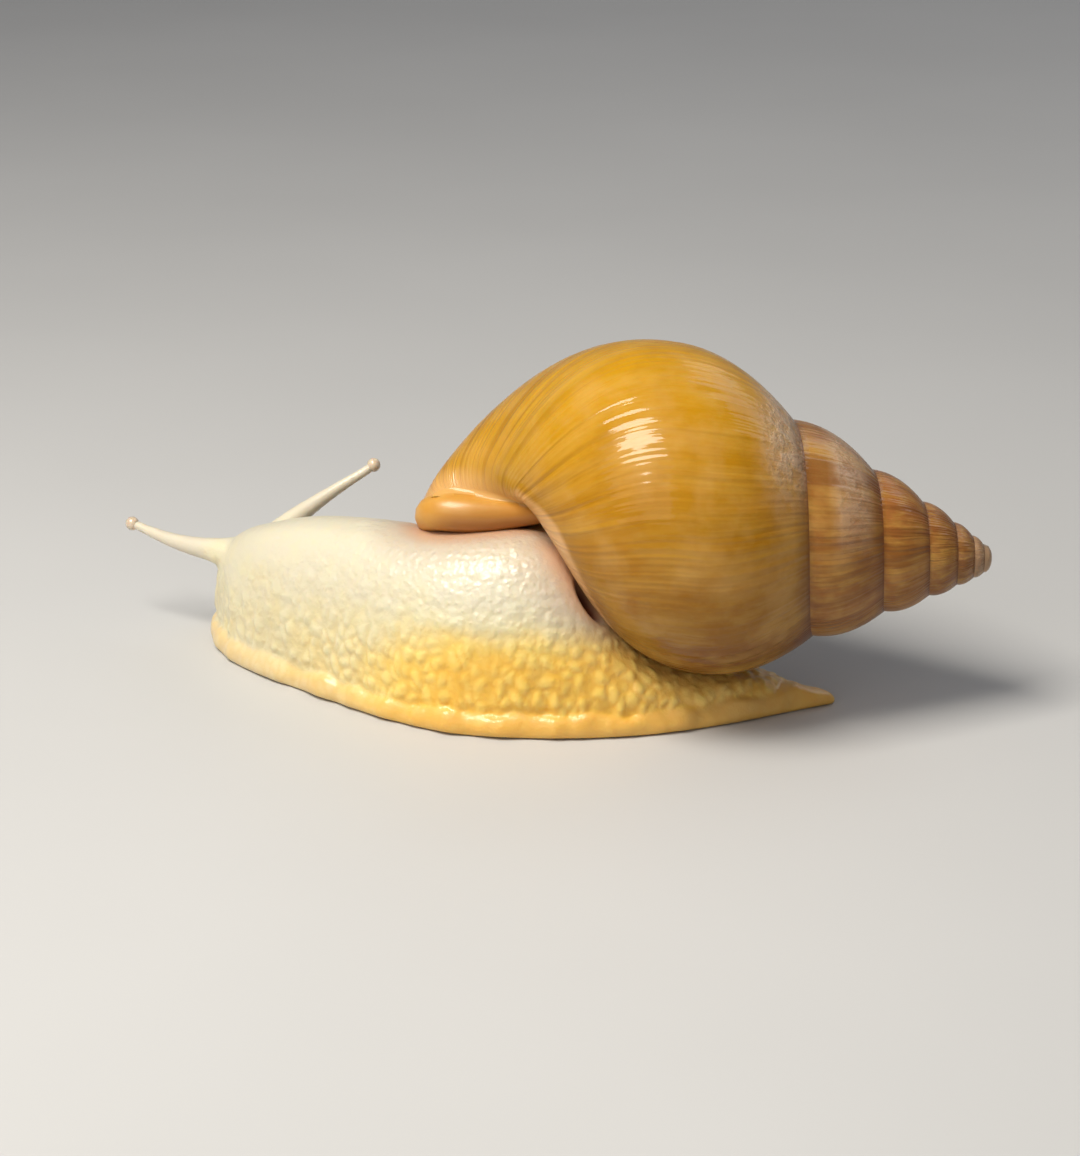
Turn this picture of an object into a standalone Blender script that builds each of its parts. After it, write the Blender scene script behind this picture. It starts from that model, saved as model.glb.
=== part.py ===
"""A giant African land snail at life size: white body, golden shell, crawling with its head
turned to its right. Lengths are in millimetres here and MM turns them into metres; +Z is up,
the head end is towards -X and the apex of the shell towards +X."""

import math

import bmesh
import bpy
from mathutils import Matrix, Vector

MM = 0.001
GAP = 0.3

# The whole animal is moved by this much, so that the middle of its floor box is the origin.
CENTRE = Vector((10.335, -13.487, 0.0))

# Shell. A turn of 0 is the suture on top of the body whorl; turns grow towards the lip.
APEX = Vector((68.0, 0.0, 27.6))
SHELL_YAW, SHELL_TILT, SHELL_ROLL = -3.5, 5.8, -20.25
SUTURE_RADIUS, WIDENING, WIDENING_EASE = 20.2, 1.535, 0.005
SUTURE_HEIGHT, LENGTHENING, LENGTHENING_EASE = 37.8, 1.612, -0.010
SHOULDER_POWER = 2.1
BASE_HEIGHT, LIP_BASE_HEIGHT, BASE_EASE = 92.7, 101.6, 0.16
BASE_RADIUS = 2.0
BASE_POWERS, LIP_POWERS = (2.2, 0.70), (3.0, 0.52)
LIP_TURN, FIRST_TURN = 0.306, -6.0
STEPS_PER_TURN = 28
SPIRE_RISE, SPIRE_SPACING = 3, 1.4
TIP_SHARE = 0.55
AXIS_SINK = 3.0
BASE_DROP, BASE_DROP_REACH = 1.8, 6.7
BASE_RISE = 9

# Rolled edge of the mouth from its outer wall round the base and up the columella, each row:
# height along the shell, distance from the axis (None: at the outer wall), radius of the roll,
# distance that it stands out of the mouth.
LIP_ROLL = (
    (63.0, None, 0.35, 0.0),
    (65.5, None, 0.75, 0.0),
    (73.0, None, 0.80, 0.0),
    (81.0, None, 0.90, 0.0),
    (88.0, None, 1.15, 0.0),
    (93.0, None, 1.60, 0.0),
    (95.8, 17.0, 2.10, 0.2),
    (97.0, 12.0, 2.50, 0.6),
    (97.7, 8.2, 2.75, 1.0),
    (97.6, 5.3, 2.85, 1.3),
    (96.6, 3.3, 3.00, 1.6),
    (94.4, 2.2, 3.15, 1.8),
    (91.2, 1.7, 3.15, 1.9),
    (87.0, 1.4, 2.85, 1.7),
    (82.5, 1.0, 2.20, 1.1),
    (77.5, 0.7, 1.50, 0.5),
    (72.0, 0.4, 1.05, 0.1),
    (67.0, 0.4, 1.00, 0.0),
    (62.0, 1.0, 0.80, 0.0),
)
LIP_ROLL_INSET, LIP_ROLL_BACK, LIP_ROLL_SIDES = 0.9, 0.0013, 8
QUARTER_TURN = 0.25

# Living chamber behind the lip, and the mantle collar that fills most of it.
WALL = 1.1
CHAMBER_STEP = 0.04
CHAMBER_STEPS, MANTLE_STEPS = 9, 4
CHAMBER_UPPER, CHAMBER_LOWER = 5.4, 1.6
MANTLE_UPPER, MANTLE_LOWER = 9.0, 11.0
MANTLE_INSIDE, MANTLE_OUTSIDE = 2.0, 0.8
THINNEST = 0.5
COLLAR_FROM, COLLAR_SLOPE = 66.0, 0.42
CHAMBER_LEVELS = 10
COLUMELLA_RADIUS = 3.0

# Body: the middle line on the floor, the half widths of the foot and of the body above it, and
# the height of the back, from the tip of the tail to the front of the head.
STATIONS = (
    (39.5, 3.0, 1.7, 1.3, 2.3),
    (32.5, 2.8, 5.2, 4.4, 4.6),
    (22.0, 2.4, 10.0, 8.8, 7.4),
    (10.5, 2.0, 14.0, 12.4, 10.2),
    (1.5, 1.8, 15.6, 13.9, 18.0),
    (-5.0, 1.7, 16.0, 14.3, 28.9),
    (-12.0, 2.0, 16.2, 14.5, 32.0),
    (-20.0, 3.6, 16.6, 14.8, 31.7),
    (-28.0, 7.2, 15.9, 14.2, 30.5),
    (-36.0, 12.6, 14.9, 13.3, 29.7),
    (-44.3, 18.5, 13.8, 12.2, 28.7),
    (-52.2, 24.2, 12.8, 10.8, 27.1),
    (-58.8, 29.8, 11.2, 9.1, 24.4),
    (-62.9, 35.4, 8.9, 7.2, 21.4),
    (-64.8, 40.2, 6.8, 6.0, 17.8),
)
TAIL_ROUND, HEAD_ROUND = 2.5, 4.8
ROUND_STEPS = 4
ROUND_LOW, ROUND_END = 0.45, 0.47
HEADING_STEP = 0.4
CUTS = {"tail": (0, 3), "trunk": (3, 8), "neck": (8, 12), "head": (12, 14)}
FOOT_CUTS = {"foot_rear": (0, 3), "foot_middle": (3, 8), "foot_front": (8, 14)}
MANTLE_SPAN, HEAD_SPAN = (3, 10), (11, 14)
STATION_SPACING = 8.0
SLICES_PER_SPAN = 3
FRINGE_HEIGHT, FRINGE_SHARE = 4.2, 0.42
# Half of the foot's section: share of its half width, share of its height.
FOOT_PROFILE = ((0.90, 0.0), (0.985, 0.14), (1.0, 0.38), (0.975, 0.66), (0.91, 0.86), (0.86, 1.0))
DOME_STEPS = 12
DOME_SQUARE, DOME_RISE = 0.72, 0.92

# Upper tentacles as (root, middle, eye), lower ones as (root, tip), lobes of the lips as centres.
TENTACLES = {
    "left": (Vector((-68.0, 35.4, 16.4)), Vector((-77.0, 41.0, 16.6)), Vector((-86.6, 46.6, 18.4))),
    "right": (Vector((-61.4, 37.0, 19.2)), Vector((-52.8, 42.0, 23.3)), Vector((-41.2, 46.6, 29.9))),
}
TENTACLE_ROOT, TENTACLE_MIDDLE, TENTACLE_TIP = 3.9, 2.2, 0.95
TENTACLE_BURIED, TENTACLE_STEPS, TENTACLE_SIDES = 3.0, 12, 12
EYE_RADIUS = 1.3
LOWER_TENTACLES = {
    "left": (Vector((-68.8, 42.6, 10.6)), Vector((-69.5, 48.2, 8.8))),
    "right": (Vector((-63.4, 45.0, 10.6)), Vector((-62.2, 50.8, 8.8))),
}
LOWER_RADIUS, LOWER_TAPER = 1.15, 0.4
LOWER_BURIED, LOWER_STEPS, LOWER_SIDES = 2.0, 6, 10
LIP_LOBES = {"left": Vector((-68.5, 44.2, 6.6)), "right": Vector((-64.9, 45.8, 6.6))}
LIP_LOBE_SIZE = Vector((1.85, 1.85, 1.8))
BALL_SEGMENTS, BALL_RINGS = 14, 9

COLOURS = {
    "shell": ((0.60, 0.30, 0.07), 0.25),
    "flesh": ((0.86, 0.78, 0.58), 0.35),
    "foot": ((0.83, 0.58, 0.26), 0.40),
    "mantle": ((0.84, 0.72, 0.60), 0.35),
    "tentacle": ((0.90, 0.82, 0.68), 0.30),
    "eye": ((0.78, 0.62, 0.48), 0.20),
}


def shell_matrix():
    """Carries the shell's own frame, with the apex at 0 and the base up its Z, to its place."""
    turns = (("Z", SHELL_YAW), ("Y", SHELL_TILT), ("X", SHELL_ROLL), ("Y", -90.0))
    placed = Matrix.Translation(APEX)
    for axis, degrees in turns:
        placed = placed @ Matrix.Rotation(math.radians(degrees), 4, axis)
    return placed


def suture_radius(turn):
    return SUTURE_RADIUS * WIDENING**turn * math.exp(WIDENING_EASE * turn * turn)


def suture_height(turn):
    return SUTURE_HEIGHT * LENGTHENING**turn * math.exp(LENGTHENING_EASE * turn * turn)


def base_height(turn):
    """How far from the apex the whorl's lower end is: it grows with the turn, then eases off."""
    if turn < 0.0:
        return BASE_HEIGHT * suture_height(turn) / SUTURE_HEIGHT
    return LIP_BASE_HEIGHT - (LIP_BASE_HEIGHT - BASE_HEIGHT) * math.exp(-turn / BASE_EASE)


def whorl_radius(turn, height):
    """Radius of the whorl's outer face at a height, from its suture over the periphery to the base."""
    top, middle, base = suture_height(turn), suture_height(turn + 1.0), base_height(turn)
    inner, outer = suture_radius(turn), suture_radius(turn + 1.0)
    if height < middle:
        share = max(0.0, (height - top) / (middle - top))
        return inner + (outer - inner) * (1.0 - (1.0 - share) ** SHOULDER_POWER)
    share = min(1.0, (height - middle) / (base - middle))
    blend = min(1.0, max(0.0, turn / LIP_TURN))
    blend = blend * blend * (3.0 - 2.0 * blend)
    power, root = (a + (b - a) * blend for a, b in zip(BASE_POWERS, LIP_POWERS))
    return BASE_RADIUS + (outer - BASE_RADIUS) * (1.0 - share**power) ** root


def rounded_base(radius, height):
    """Height of a point of the base once its end near the axis is rounded off."""
    share = max(0.0, 1.0 - (radius - BASE_RADIUS) / BASE_DROP_REACH)
    return height - BASE_DROP * min(1.0, share) ** 2


def at_turn(turn, radius, height):
    angle = 2.0 * math.pi * turn
    return Vector((radius * math.cos(angle), radius * math.sin(angle), height))


def whorl_heights(turn, whole):
    """Heights of the profile's points: the spire's strip alone, or the whole profile to the base."""
    top, middle, base = suture_height(turn), suture_height(turn + 1.0), base_height(turn)
    heights = [top + (middle - top) * (k / SPIRE_RISE) ** SPIRE_SPACING for k in range(SPIRE_RISE + 1)]
    if whole:
        for k in range(1, BASE_RISE + 1):
            heights.append(middle + (base - middle) * math.sin(math.pi / 2.0 * k / BASE_RISE))
    return heights


def shell_skin(grow=0.0):
    """The closed outer skin of the shell: whorls, spire and apex, with a flat face at the lip."""
    mesh = bmesh.new()
    first = round(FIRST_TURN * STEPS_PER_TURN)
    whorl = STEPS_PER_TURN
    columns = []
    axis_points = []
    count = -first + 1
    for column in range(count):
        turn = LIP_TURN + (column - count + 1) / STEPS_PER_TURN
        whole = column >= count - 1 - whorl
        line = []
        for k, height in enumerate(whorl_heights(turn, whole)):
            if k == 0 and column >= whorl:
                line.append(columns[column - whorl][SPIRE_RISE])
                continue
            radius = whorl_radius(turn, height)
            if k > SPIRE_RISE:
                height = rounded_base(radius, height) + grow
            line.append(mesh.verts.new(at_turn(turn, radius + grow, height)))
        columns.append(line)
        if whole:
            middle = base_height(turn) - AXIS_SINK + grow
            axis_points.append(mesh.verts.new(Vector((0.0, 0.0, middle))))
    for left, right in zip(columns, columns[1:]):
        for k in range(min(len(left), len(right)) - 1):
            mesh.faces.new((left[k], right[k], right[k + 1], left[k + 1]))
    whole_columns = columns[-whorl - 1 :]
    for k in range(whorl):
        lower = (whole_columns[k][-1], whole_columns[k + 1][-1])
        mesh.faces.new(lower + (axis_points[k + 1], axis_points[k]))
    mouth = list(whole_columns[-1]) + axis_points[::-1] + whole_columns[0][:SPIRE_RISE:-1]
    mesh.faces.new(mouth)
    tip = mesh.verts.new(Vector((0.0, 0.0, suture_height(FIRST_TURN) * TIP_SHARE - grow)))
    rim = [line[0] for line in columns[:whorl]] + columns[0][:0:-1]
    for a, b in zip(rim, rim[1:] + rim[:1]):
        mesh.faces.new((b, a, tip))
    return mesh


def chamber_ring(turn, upper, lower, inside=0.0, outside=0.0, reach=0.0):
    """One section of the living chamber: down its outer wall, then back up the inner one."""
    top = suture_height(turn) + upper
    bottom = base_height(turn) - lower
    outer, inner = [], []
    for k in range(CHAMBER_LEVELS + 1):
        height = top + (bottom - top) * math.sin(math.pi / 2.0 * k / CHAMBER_LEVELS)
        parietal = whorl_radius(turn - 1.0, height) if height < base_height(turn - 1.0) else 0.0
        near = max(COLUMELLA_RADIUS, parietal + WALL) + inside
        near = max(near, reach * (height - COLLAR_FROM))
        far = whorl_radius(turn, min(height + WALL, base_height(turn))) - WALL - outside
        outer.append(at_turn(turn, max(far, near + THINNEST), height))
        inner.append(at_turn(turn, near, height))
    return outer + inner[::-1]


def chamber(steps, *shape):
    """The chamber from just outside the lip inwards, by a number of steps."""
    turns = [LIP_TURN + CHAMBER_STEP * (1 - k) for k in range(steps + 1)]
    return loft([chamber_ring(turn, *shape) for turn in turns])


def spaced(start, end, steps):
    return [start + (end - start) * k / steps for k in range(steps + 1)]


def loft(rings):
    """A closed solid through rings of like count, with a flat face at each end."""
    mesh = bmesh.new()
    lines = [[mesh.verts.new(point) for point in ring] for ring in rings]
    for left, right in zip(lines, lines[1:]):
        for k in range(len(left)):
            after = (k + 1) % len(left)
            mesh.faces.new((left[k], left[after], right[after], right[k]))
    mesh.faces.new(lines[0][::-1])
    mesh.faces.new(lines[-1])
    bmesh.ops.recalc_face_normals(mesh, faces=mesh.faces)
    return mesh


def smooth_value(values, place):
    """Catmull-Rom through the values, read at a place counted in whole stations."""
    last = len(values) - 1
    index = min(int(place), last - 1)
    t = place - index
    p0 = values[max(index - 1, 0)]
    p1, p2 = values[index], values[index + 1]
    p3 = values[min(index + 2, last)]
    return 0.5 * (
        2.0 * p1
        + (p2 - p0) * t
        + (2.0 * p0 - 5.0 * p1 + 4.0 * p2 - p3) * t * t
        + (3.0 * p1 - p0 - 3.0 * p2 + p3) * t * t * t
    )


def station(place):
    """Middle point, the ways ahead and left, and the foot's, body's and back's size at a place.

    Past the first and the last station the middle line runs straight on and rounds off."""
    last = len(STATIONS) - 1.0
    inner = min(max(place, 0.0), last)
    columns = list(zip(*STATIONS))
    x, y, foot, body, height = (smooth_value(column, inner) for column in columns)
    back, front = max(inner - HEADING_STEP, 0.0), min(inner + HEADING_STEP, last)
    ahead = Vector([smooth_value(c, front) - smooth_value(c, back) for c in columns[:2]] + [0.0])
    ahead.normalize()
    middle = Vector((x, y, 0.0))
    over = place - inner
    if over:
        reach = HEAD_ROUND if over > 0.0 else TAIL_ROUND
        middle += ahead * (over * reach)
        rounding = math.sqrt(max(0.0, 1.0 - over * over))
        foot *= rounding
        body *= rounding
        height *= ROUND_LOW + (1.0 - ROUND_LOW) * rounding
    return middle, Vector((-ahead.y, ahead.x, 0.0)), foot, body, height


def fringe_height(height):
    return min(FRINGE_HEIGHT, FRINGE_SHARE * height)


def foot_ring(place):
    """The foot's section: a flat sole, a rounded fringe and a groove above it."""
    middle, left, width, _, height = station(place)
    top = fringe_height(height)
    sides = []
    for way in (-1.0, 1.0):
        for across, up in FOOT_PROFILE:
            sides.append(middle + left * (way * width * across) + Vector((0.0, 0.0, top * up)))
    half = len(FOOT_PROFILE)
    return sides[:half] + sides[: half - 1 : -1]


def dome_ring(place, grow=0.0):
    """The section of the body above the foot: a flat underside and a rounded back."""
    middle, left, _, width, height = station(place)
    bottom = fringe_height(height) + GAP
    ring = []
    for k in range(DOME_STEPS + 1):
        angle = math.pi * k / DOME_STEPS
        across = math.copysign(abs(math.cos(angle)) ** DOME_SQUARE, math.cos(angle))
        rise = math.sin(angle) ** DOME_RISE
        side = middle + left * (across * (width + grow))
        ring.append(side + Vector((0.0, 0.0, bottom - grow + (height - bottom + 2.0 * grow) * rise)))
    return ring


def body_places(start, end):
    """Places of a piece's sections, short of its neighbours by half a gap, with rounded ends."""
    spans = SLICES_PER_SPAN * (end - start)
    half_gap = 0.5 * GAP / STATION_SPACING
    places = spaced(float(start), float(end), spans)
    rounded = [math.sin(ROUND_END * math.pi * k / ROUND_STEPS) for k in range(1, ROUND_STEPS + 1)]
    if start > 0:
        places[0] += half_gap
    else:
        places = [-over for over in rounded[::-1]] + places
    if end < len(STATIONS) - 1:
        places[-1] -= half_gap
    else:
        places += [end + over for over in rounded]
    return places


def tube(points, radii, sides, up=Vector((0.0, 0.0, 1.0))):
    """A round limb along a smooth line, nowhere parallel to up, closed at both ends."""
    rings = []
    for k, (point, radius) in enumerate(zip(points, radii)):
        before, after = points[max(k - 1, 0)], points[min(k + 1, len(points) - 1)]
        ahead = (after - before).normalized()
        across = ahead.cross(up).normalized()
        above = across.cross(ahead)
        ring = []
        for step in range(sides):
            angle = 2.0 * math.pi * step / sides
            ring.append(point + across * (radius * math.cos(angle)) + above * (radius * math.sin(angle)))
        rings.append(ring)
    return loft(rings)


def bend(start, middle, end, steps):
    """Points of the curve that leaves start, passes the middle and reaches the end."""
    control = middle * 2.0 - (start + end) * 0.5
    points = []
    for k in range(steps + 1):
        t = k / steps
        points.append(start * (1.0 - t) ** 2 + control * (2.0 * t * (1.0 - t)) + end * t * t)
    return points


def material(name, kind):
    colour, roughness = COLOURS[kind]
    made = bpy.data.materials.new(name)
    made.use_nodes = True
    shader = made.node_tree.nodes["Principled BSDF"]
    shader.inputs["Base Color"].default_value = (*colour, 1.0)
    shader.inputs["Roughness"].default_value = roughness
    shader.inputs["Metallic"].default_value = 0.0
    made.diffuse_color = (*colour, 1.0)
    return made


def add_object(name, mesh, collection, kind=None, matrix=Matrix.Identity(4)):
    """An object from a mesh in millimetres, in metres and moved so that the box's middle is 0."""
    placed = Matrix.Scale(MM, 4) @ Matrix.Translation(CENTRE) @ matrix
    bmesh.ops.transform(mesh, matrix=placed, verts=mesh.verts)
    bmesh.ops.recalc_face_normals(mesh, faces=mesh.faces)
    data = bpy.data.meshes.new(name)
    mesh.to_mesh(data)
    mesh.free()
    made = bpy.data.objects.new(name, data)
    collection.objects.link(made)
    if kind:
        data.materials.append(material(name, kind))
        data.shade_smooth()
        data.set_sharp_from_angle(angle=math.radians(50.0))
    else:
        made.hide_render = True
        made.display_type = "WIRE"
    return made


def boolean(target, cutter, operation="DIFFERENCE"):
    modifier = target.modifiers.new(operation.title() + " " + cutter.name, "BOOLEAN")
    modifier.operation = operation
    modifier.solver = "EXACT"
    modifier.object = cutter


def new_collection(name):
    made = bpy.data.collections.new(name)
    bpy.context.scene.collection.children.link(made)
    return made


def lip_roll(grow=0.0):
    """The rounded roll that edges the shell's mouth, as a tube with tapered ends."""
    points, radii = [], []
    forward = at_turn(LIP_TURN + QUARTER_TURN, 1.0, 0.0)
    for height, out, radius, ahead in LIP_ROLL:
        if out is None:
            out = whorl_radius(LIP_TURN, height) - LIP_ROLL_INSET * radius
        points.append(at_turn(LIP_TURN - LIP_ROLL_BACK, out, height) + forward * ahead)
        radii.append(radius + grow)
    return tube(points, radii, LIP_ROLL_SIDES, forward)


def build_shell(parts, cutters):
    """The shell, and the two shapes that keep the flesh clear of it."""
    matrix = shell_matrix()
    shell = add_object("shell", shell_skin(), parts, "shell", matrix)
    hollow = chamber(CHAMBER_STEPS, CHAMBER_UPPER, CHAMBER_LOWER)
    boolean(shell, add_object("chamber_cutter", hollow, cutters, None, matrix))
    boolean(shell, add_object("lip_roll", lip_roll(), cutters, None, matrix), "UNION")
    return (
        add_object("shell_clearance", shell_skin(GAP), cutters, None, matrix),
        add_object("lip_clearance", lip_roll(GAP), cutters, None, matrix),
    )


def build_body(parts, clearances):
    for name, (start, end) in CUTS.items():
        places = body_places(start, end)
        dome = add_object(name, loft([dome_ring(place) for place in places]), parts, "flesh")
        for clearance in clearances:
            boolean(dome, clearance)
    for name, (start, end) in FOOT_CUTS.items():
        places = body_places(start, end)
        add_object(name, loft([foot_ring(place) for place in places]), parts, "foot")


def build_mantle(parts, cutters, clearances):
    """The collar of flesh in the chamber's mouth, cut back where the body goes in."""
    plug = chamber(
        MANTLE_STEPS, MANTLE_UPPER, MANTLE_LOWER, MANTLE_INSIDE, MANTLE_OUTSIDE, COLLAR_SLOPE
    )
    mantle = add_object("mantle_collar", plug, parts, "mantle", shell_matrix())
    start, end = MANTLE_SPAN
    places = spaced(start, end, SLICES_PER_SPAN * (end - start))
    room = add_object("body_clearance", loft([dome_ring(place, GAP) for place in places]), cutters)
    for cutter in (room, *clearances):
        boolean(mantle, cutter)


def spaced_points(start, end, steps):
    return [start.lerp(end, k / steps) for k in range(steps + 1)]


def ball(size):
    mesh = bmesh.new()
    bmesh.ops.create_uvsphere(mesh, u_segments=BALL_SEGMENTS, v_segments=BALL_RINGS, radius=1.0)
    bmesh.ops.scale(mesh, vec=size, verts=mesh.verts)
    return mesh


def upper_tentacle(root, middle, tip):
    """A feeler with a flared root, which ends just short of its eye."""
    inside = root - (middle - root).normalized() * TENTACLE_BURIED
    end = tip - (tip - middle).normalized() * (EYE_RADIUS + GAP)
    points = bend(inside, middle, end, TENTACLE_STEPS)
    radii = []
    for k in range(TENTACLE_STEPS + 1):
        share = k / TENTACLE_STEPS
        flare = (TENTACLE_ROOT - TENTACLE_MIDDLE) * max(0.0, 1.0 - 2.0 * share) ** 2
        radii.append(flare + TENTACLE_MIDDLE + (TENTACLE_TIP - TENTACLE_MIDDLE) * share)
    return tube(points, radii, TENTACLE_SIDES)


def lower_tentacle(root, tip):
    inside = root - (tip - root).normalized() * LOWER_BURIED
    points = spaced_points(inside, tip, LOWER_STEPS)
    radii = [LOWER_RADIUS * (1.0 - LOWER_TAPER * (k / LOWER_STEPS) ** 2) for k in range(LOWER_STEPS + 1)]
    return tube(points, radii, LOWER_SIDES)


def build_head_pieces(parts, cutters):
    """Tentacles, eyes and the lobes of the lips, each cut back to the head's own surface."""
    places = body_places(*HEAD_SPAN)
    room = add_object("head_clearance", loft([dome_ring(place, GAP) for place in places]), cutters)
    for side in ("left", "right"):
        root, middle, tip = TENTACLES[side]
        upper = add_object("upper_tentacle_" + side, upper_tentacle(root, middle, tip), parts, "tentacle")
        boolean(upper, room)
        eye = ball(Vector((EYE_RADIUS, EYE_RADIUS, EYE_RADIUS)))
        add_object("eye_" + side, eye, parts, "eye", Matrix.Translation(tip))
        lower = lower_tentacle(*LOWER_TENTACLES[side])
        boolean(add_object("lower_tentacle_" + side, lower, parts, "tentacle"), room)
        place = Matrix.Translation(LIP_LOBES[side])
        boolean(add_object("lip_" + side, ball(LIP_LOBE_SIZE), parts, "flesh", place), room)


def main():
    for item in list(bpy.data.objects):
        bpy.data.objects.remove(item, do_unlink=True)
    parts = new_collection("giant_african_land_snail")
    cutters = new_collection("cutters")
    clearances = build_shell(parts, cutters)
    build_body(parts, clearances)
    build_mantle(parts, cutters, clearances[1:])
    build_head_pieces(parts, cutters)


main()
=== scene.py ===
"""Looks of a giant African land snail at life size: one wet skin of flesh with its tubercles, a
glossy golden shell with its growth lines, and the pale eyes, in the CAD part's own frame."""

import math

import bmesh
import bpy
import numpy as np
from mathutils import Matrix, Vector, noise
from mathutils.bvhtree import BVHTree


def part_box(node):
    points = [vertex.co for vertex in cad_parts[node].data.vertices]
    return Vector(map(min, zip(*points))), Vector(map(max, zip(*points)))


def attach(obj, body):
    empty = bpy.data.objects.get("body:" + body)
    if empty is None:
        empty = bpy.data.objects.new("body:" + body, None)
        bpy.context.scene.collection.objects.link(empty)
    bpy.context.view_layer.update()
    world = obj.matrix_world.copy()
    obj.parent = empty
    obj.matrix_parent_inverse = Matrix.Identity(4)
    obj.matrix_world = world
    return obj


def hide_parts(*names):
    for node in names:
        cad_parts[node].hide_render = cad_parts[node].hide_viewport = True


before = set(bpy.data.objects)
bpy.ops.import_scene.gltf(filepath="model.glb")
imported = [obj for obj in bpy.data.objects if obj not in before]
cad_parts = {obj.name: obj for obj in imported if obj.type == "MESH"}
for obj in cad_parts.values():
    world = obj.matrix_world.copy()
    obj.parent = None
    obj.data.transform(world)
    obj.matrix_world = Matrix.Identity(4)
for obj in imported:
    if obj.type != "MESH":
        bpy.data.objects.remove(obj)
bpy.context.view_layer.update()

MM = 0.001

# Shell, in millimetres in its own frame: apex at 0, base up Z, one turn for each whorl.
SHELL_YAW, SHELL_TILT, SHELL_ROLL = -3.5, 5.8, -20.25
SUTURE_RADIUS, WIDENING, WIDENING_EASE = 20.2, 1.535, 0.005
SUTURE_HEIGHT, LENGTHENING, LENGTHENING_EASE = 37.8, 1.612, -0.010
SHOULDER_POWER = 2.1
BASE_HEIGHT, LIP_BASE_HEIGHT, BASE_EASE = 92.7, 101.6, 0.16
BASE_RADIUS = 2.0
BASE_POWERS, LIP_POWERS = (2.2, 0.70), (3.0, 0.52)
LIP_TURN, WHORLS = 0.306, 6.3
FIRST_TURN = LIP_TURN - WHORLS
STEPS_PER_TURN = 480
SPIRE_ROWS, BASE_ROWS = 14, 56
TIP_ROWS = 4
GROWTH_SWEEP, SUTURE_SWEEP = 0.07, 0.03

WALL, LIP_WALL = 1.1, 0.5
CHAMBER_DEPTH, CHAMBER_STEPS, CHAMBER_LEVELS = 0.34, 56, 56
CHAMBER_UPPER, CHAMBER_LOWER, CHAMBER_WALLS = 5.4, 1.6, 0.85
COLUMELLA_RADIUS = 3.0
# The chamber's lining thickens towards the base from one share of its height to another.
LINING_FROM, LINING_TO, LINING_SHARE = 0.55, 0.95, 0.94
# Rolled lip, each row: height along the shell, distance from its axis (or None for the wall),
# radius, and how far it stands out of the mouth.
LIP_ROLL = (
    (63.0, None, 0.35, 0.0), (65.5, None, 0.75, 0.0), (73.0, None, 0.80, 0.0), (81.0, None, 0.90, 0.0),
    (88.0, None, 1.15, 0.0), (93.0, None, 1.60, 0.0), (95.8, 17.0, 2.10, 0.2), (97.0, 12.0, 2.50, 0.6),
    (97.7, 8.2, 2.75, 1.0), (97.6, 5.3, 2.85, 1.3), (96.6, 3.3, 3.00, 1.6), (94.4, 2.2, 3.15, 1.8),
    (91.2, 1.7, 3.15, 1.9), (87.0, 1.4, 2.85, 1.7), (82.5, 1.0, 2.20, 1.1), (77.5, 0.7, 1.50, 0.5),
    (72.0, 0.4, 1.05, 0.1), (67.0, 0.4, 1.00, 0.0), (62.0, 1.0, 0.80, 0.0),
)
QUARTER_TURN = 0.25
LIP_ROLL_INSET, LIP_ROLL_BACK, LIP_ROLL_SHARE, LIP_ROLL_RINGS = 0.9, 0.0013, 1.08, 150
LIP_ROLL_EASE = 3
AXIS_SINK = 3.0
BASE_DROP, BASE_DROP_REACH = 1.8, 6.7
SPIRE_CROWDING = 1.25
APEX_RISE, APEX_REACH, APEX_SHARE, APEX_NARROWEST = 0.05, 1.02, 0.55, 0.001
RIM_SLACK, LEAST_CHAMBER = 0.01, 0.3
GRID_MERGE, APEX_MERGE, ROLL_MERGE = 0.002, 0.02, 0.0001
# Growth coordinates, turn and place across, of the faces that close the shell.
APEX_GROWTH, BASE_GROWTH, MOUTH_GROWTH = (FIRST_TURN, 0.6), (0.0, 2.0), (LIP_TURN, 1.9)
# Relief along the growing edge: how fine along and across the whorl, seed, and height as a share
# of the whorl's size.
GROWTH_RELIEF = ((20.0, 0.7, 3.1, 0.0034), (62.0, 1.5, 7.7, 0.0018), (130.0, 2.2, 1.3, 0.0010))
# The glazed callus band along the mouth's edge, paler partly as a painted sheen: where it starts across the
# whorl, turn by turn.
GLAZE_TURNS = (-0.60, -0.39, -0.35, -0.30, -0.24, -0.18, -0.10)
GLAZE_STARTS = (1.40, 1.61, 1.685, 1.745, 1.80, 1.91, 1.99)
# Worn patches of the shell: turn and place across of the middle, the distances along and across at
# which the wear ends and is whole, and its share.
WORN_PATCHES = (
    (-0.02, 0.0, (0.26, 0.14), (0.50, 0.16), 1.0),
    (-1.12, 0.40, (0.20, 0.08), (0.34, 0.14), 0.55),
)

# Skin of the flesh, in metres.
FLESH = ("trunk", "neck", "head", "tail", "lip_left", "lip_right")
FEET = ("foot_rear", "foot_middle", "foot_front")
FEELERS = ("upper_tentacle_left", "upper_tentacle_right", "lower_tentacle_left", "lower_tentacle_right")
SWELL = 0.24 * MM
BODY_VOXEL, SKIN_VOXEL = 0.55 * MM, 0.45 * MM
BODY_SMOOTHING, SKIN_SMOOTHING, RELIEF_SMOOTHING = 26, 8, 2
SOLE_HEIGHT, SOLE_SHARE = 0.6 * MM, 0.15
FEELER_WHOLE, FEELER_ROOT, FEELER_FLARE = 0.8, 0.35, 1.6
FEELER_FITS, FEELER_RINGS, FEELER_EASE = 30, 48, 6
FEELER_MARGIN, FEELER_START, FEELER_FREE = 1.5 * MM, 9.0 * MM, 15.0 * MM
SMALL_FEELER_ROOT, SMALL_FEELER_TIP, SMALL_FEELER_RINGS = 2.0 * MM, 0.7 * MM, 24
THINNEST_FEELER, TUBE_ROUNDNESS = 0.3 * MM, 5
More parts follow.
